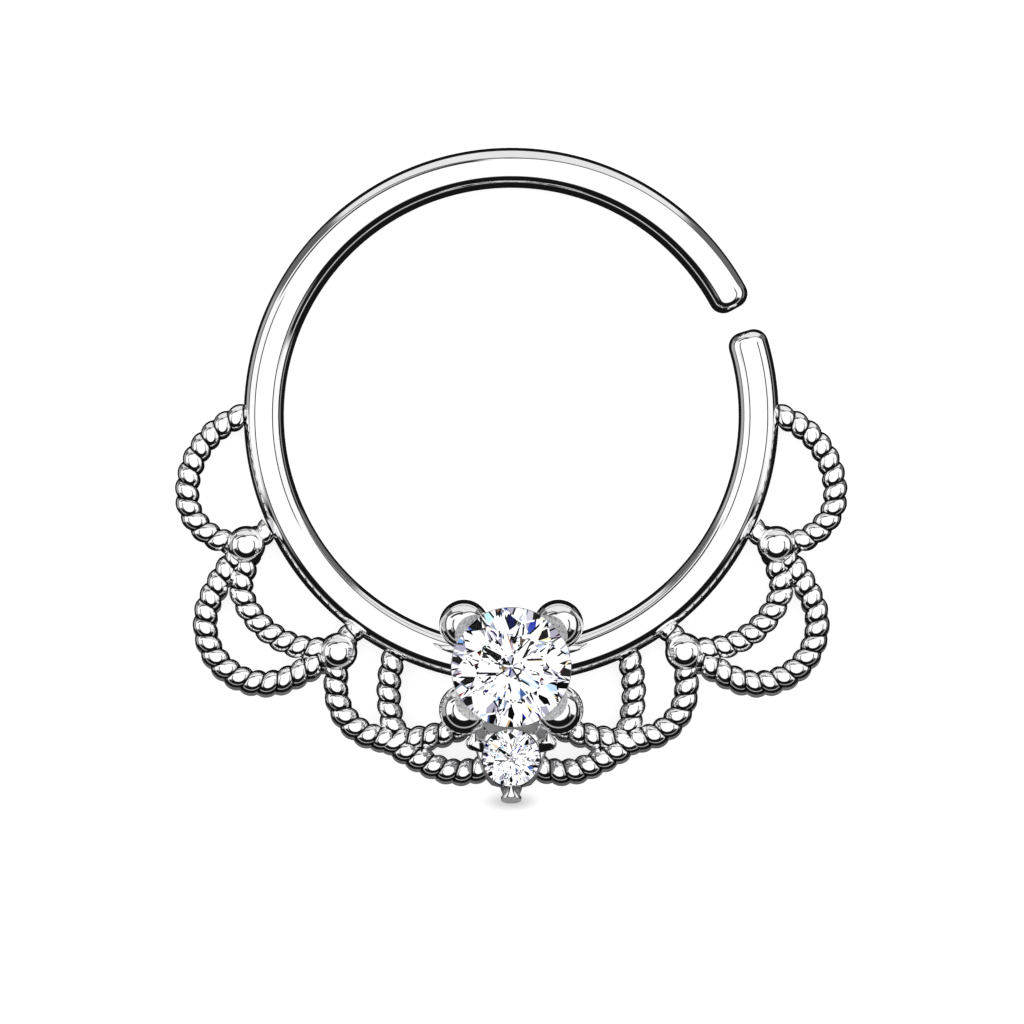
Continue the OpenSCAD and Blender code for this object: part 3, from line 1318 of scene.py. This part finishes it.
@dataclass
class SmallSetting(Assembly):
    """Shield-shaped collet with two side claws, their struts and a tail claw.

    rim and foot are the collet's outline above and below, as the +X corners round the
    stone's axis. side_points are the left side claw's head, foot and tip, each as its
    distance from that axis, its angle in degrees and its height. tail and tail_leg are
    rings, each as radius, distance below the axis and height.
    """

    stone: StoneSize
    rim: tuple[Pair, ...] = (
        (0.52, 0.52), (0.70, 0.134), (0.64, -0.075), (0.52, -0.313), (0.335, -0.525), (0.18, -0.63))
    foot: tuple[Pair, ...] = (
        (0.5, 0.6), (0.74, 0.16), (0.69, -0.1), (0.61, -0.335), (0.45, -0.58), (0.23, -0.79))
    rim_z: float = 1.42
    foot_z: float = 0.25
    hole_r: float = 0.25
    hole_sides: int = 48
    spare: float = 0.1
    block_half: float = 1.0
    collet_edge: tuple[float, int, float] = (0.045, 4, 25)
    side_claw_r: float = 0.155
    leg_share: float = 0.92
    tip_shares: Pair = (0.99, 0.9)
    strut_share: float = 0.97
    strut_sides: int = 32
    face_share: float = 0.97
    claw_weld: float = 1e-4
    side_points: tuple[Triple, ...] = ((0.85, 159, 1.42), (0.4, 159, 0.5), (0.6, 157, 1.45))
    side_face: Triple = (0, -0.5, 0.866)
    peak: tuple[float, float, float, float] = (0.765, 0.53, 1.62, 0.035)
    tail: tuple[Triple, ...] = (
        (0.075, 0.56, 1.46), (0.08, 0.62, 1.43), (0.09, 0.67, 1.40), (0.115, 0.715, 1.36),
        (0.15, 0.755, 1.31), (0.19, 0.79, 1.26), (0.21, 0.82, 1.23), (0.212, 1.25, 1.2))
    tail_end: Pair = (0.82, 1.42)
    tail_face: Triple = (0, -0.943, 0.333)
    tail_edge: tuple[float, int, float] = (0.018, 3, 40)
    tail_leg: tuple[Triple, ...] = ((0.24, 0.62, -0.1), (0.17, 0.76, 1.15))
    leg_edge: float = 0.03
    floor_z: float = 0.002
    sides: int = 64
    shaded_below: float = 0.2

    def _collet(self) -> Piece:
        """Makes the shield-shaped collet with its hole, flaring a little downwards.

        Returns:
            The collet.
        """
        y = self.stone.centre_y
        half = self.block_half
        piece = box("collet", Vector((-half, y - half, 0)), Vector((half, y + half, self.rim_z)))
        top = [Vector((x, y + v, self.rim_z)) for x, v in self.rim]
        low = [Vector((x, y + v, self.foot_z)) for x, v in self.foot]
        for a, b, c, d in zip(top, top[1:], low, low[1:]):
            away = (b - a).cross((c + d) / 2 - a).normalized()
            if away.x < 0:
                away.negate()
            for flip in (1, -1):
                cut_flat(piece, (a.x * flip, a.y, a.z), (away.x * flip, away.y, away.z))
        cut_flat(piece, top[0], (0, 1, 0))
        cut_flat(piece, top[-1], (0, -1, 0))
        ends = [(self.hole_r, Vector((0, y, z))) for z in (-self.spare, self.rim_z + self.spare)]
        combine(piece, drawn("hole", ends, self.hole_sides), "DIFFERENCE")
        outward(piece)
        soften(piece, *self.collet_edge)
        self.stone.cut_seat(piece)
        return piece

    def _side_claw(self, flip: int) -> Piece:
        """Makes a side claw with its leg, its tip on the stone and its strut.

        Args:
            flip: 1 for the right one, -1 for the left one.

        Returns:
            The claw, its seat cut.
        """
        y, r = self.stone.centre_y, self.side_claw_r
        peak_x, peak_y, peak_z, peak_r = self.peak
        head, foot, tip = (polar(out, angle if flip < 0 else 180 - angle, z, y)
                           for out, angle, z in self.side_points)
        leg_r, (tip_low, tip_high) = r * self.leg_share, self.tip_shares
        piece = ball("side_claw", r, head)
        combine(piece, taper("leg", foot, head, leg_r, leg_r))
        combine(piece, taper("tip", head, tip, r * tip_low, r * tip_high))
        combine(piece, taper("strut", head, Vector((peak_x * flip, y + peak_y, peak_z)),
                             r * self.strut_share, peak_r, self.strut_sides))
        cut_flat(piece, head + Vector((0, 0, r * self.face_share)), self.side_face)
        self.stone.cut_seat(piece, self.claw_weld)
        return piece

    def _tail(self) -> Piece:
        """Makes the tail claw, a trumpet that flares to a flat end below the stone.

        Returns:
            The claw, its seat cut.
        """
        y = self.stone.centre_y
        rings = [(r, Vector((0, y - out, z))) for r, out, z in self.tail]
        piece = drawn("tail", rings, self.sides, (pi / 2, 0, 0))
        end_out, end_z = self.tail_end
        cut_flat(piece, (0, y - end_out, end_z), self.tail_face)
        soften(piece, *self.tail_edge)
        self.stone.cut_seat(piece)
        return piece

    def _tail_leg(self) -> Piece:
        """Makes the leg under the tail claw, cut level just above the floor.

        Returns:
            The leg.
        """
        (low_r, low_out, low_z), (high_r, high_out, high_z) = self.tail_leg
        y = self.stone.centre_y
        piece = taper("tail_leg", Vector((0, y - low_out, low_z)),
                      Vector((0, y - high_out, high_z)), low_r, high_r)
        cut_flat(piece, (0, y, self.floor_z), (0, 0, -1))
        soften(piece, self.leg_edge)
        return piece

    def build(self) -> None:
        """Makes the collet and claws, and finishes them."""
        dresser = self.dresser
        collet = dresser.metal_piece(self._collet(), "small_collet")
        # Faces that look sideways or down get painted shade.
        dresser.mark(collet, dresser.back, lambda face: face.normal.z < self.shaded_below)
        for side in (Side.LEFT, Side.RIGHT):
            claw = self._side_claw(side.value)
            dresser.metal_piece(claw, f"small_side_claw_{side.name.lower()}")
        tail = dresser.metal_piece(self._tail(), "small_tail_claw")
        dresser.satin_facing(tail, self.tail_face)
        leg = dresser.metal_piece(self._tail_leg(), "small_tail_leg")
        # The whole tail leg gets painted shade.
        dresser.mark(leg, dresser.back, lambda face: True)


@dataclass
class Bridge(Assembly):
    """Web between the two settings, with a lower shoulder on each side.

    Each block is its x, y and z ranges, in millimetres.
    """

    stones: tuple[StoneSize, StoneSize]
    web: Ranges = (-0.66, 0.66, -6.74, -6.3, 0.3, 1.3)
    web_corner: float = 0.43
    corner_away: Triple = (0.28, -0.2, 0.02)
    shoulder: Ranges = (0.48, 0.77, -6.76, -6.5, 0.35, 1.15)
    tilt: float = 14.0
    edge: float = 0.045
    smooth: float = 30
    satin_spread: float = 8

    def _top(self) -> Vector:
        """The way that the tilted tops face."""
        slope = radians(self.tilt)
        return Vector((0, sin(slope), cos(slope)))

    def _block(self, ranges: Ranges) -> Piece:
        """Makes one block with a tilted top and chamfered edges.

        Args:
            ranges: its x, y and z ranges.

        Returns:
            The block, the stones' seats cut.
        """
        x0, x1, y0, y1, z0, z1 = ranges
        piece = box("block", Vector((x0, y0, z0)), Vector((x1, y1, z1)))
        cut_flat(piece, (0, y0, z1), self._top())
        if ranges is self.web:
            x, y, z = self.corner_away
            for flip in (1, -1):
                cut_flat(piece, (self.web_corner * flip, y0, z1), (x * flip, y, z))
        soften(piece, self.edge, 1)
        for stone in self.stones:
            stone.cut_seat(piece)
        return piece

    def build(self) -> None:
        """Makes the web and its shoulders, and finishes them."""
        x0, x1, *rest = self.shoulder
        for name, ranges in (
                ("setting_bridge", self.web), ("bridge_shoulder_right", self.shoulder),
                ("bridge_shoulder_left", (-x1, -x0, *rest))):
            piece = self.dresser.metal_piece(self._block(ranges), name, self.smooth)
            self.dresser.satin_facing(piece, self._top(), self.satin_spread)


def main() -> None:
    """Builds the ring and its studio."""
    logging.basicConfig(level=logging.INFO, format="%(name)s %(message)s")
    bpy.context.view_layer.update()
    Studio().build()
    dresser = Dresser(*(finish().material() for finish in (
        PolishedMetal, TwistedMetal, SatinMetal, FiledSeat, ShadedBack, ClearStone, FrostedEdge)))
    large = StoneSize("large_stone", 1.25, LARGE_Y, 2.04)
    small = StoneSize("small_stone", 0.6, SMALL_Y, 1.45)
    for assembly in (
            HoopWire(dresser), Lace(dresser, TwistedWire()), LargeSetting(dresser, large),
            SmallSetting(dresser, small), Bridge(dresser, (large, small)),
            Brilliant(dresser, large, "large_stone_cut"),
            Brilliant(dresser, small, "small_stone_cut")):
        assembly.build()


if __name__ == "__main__":
    main()
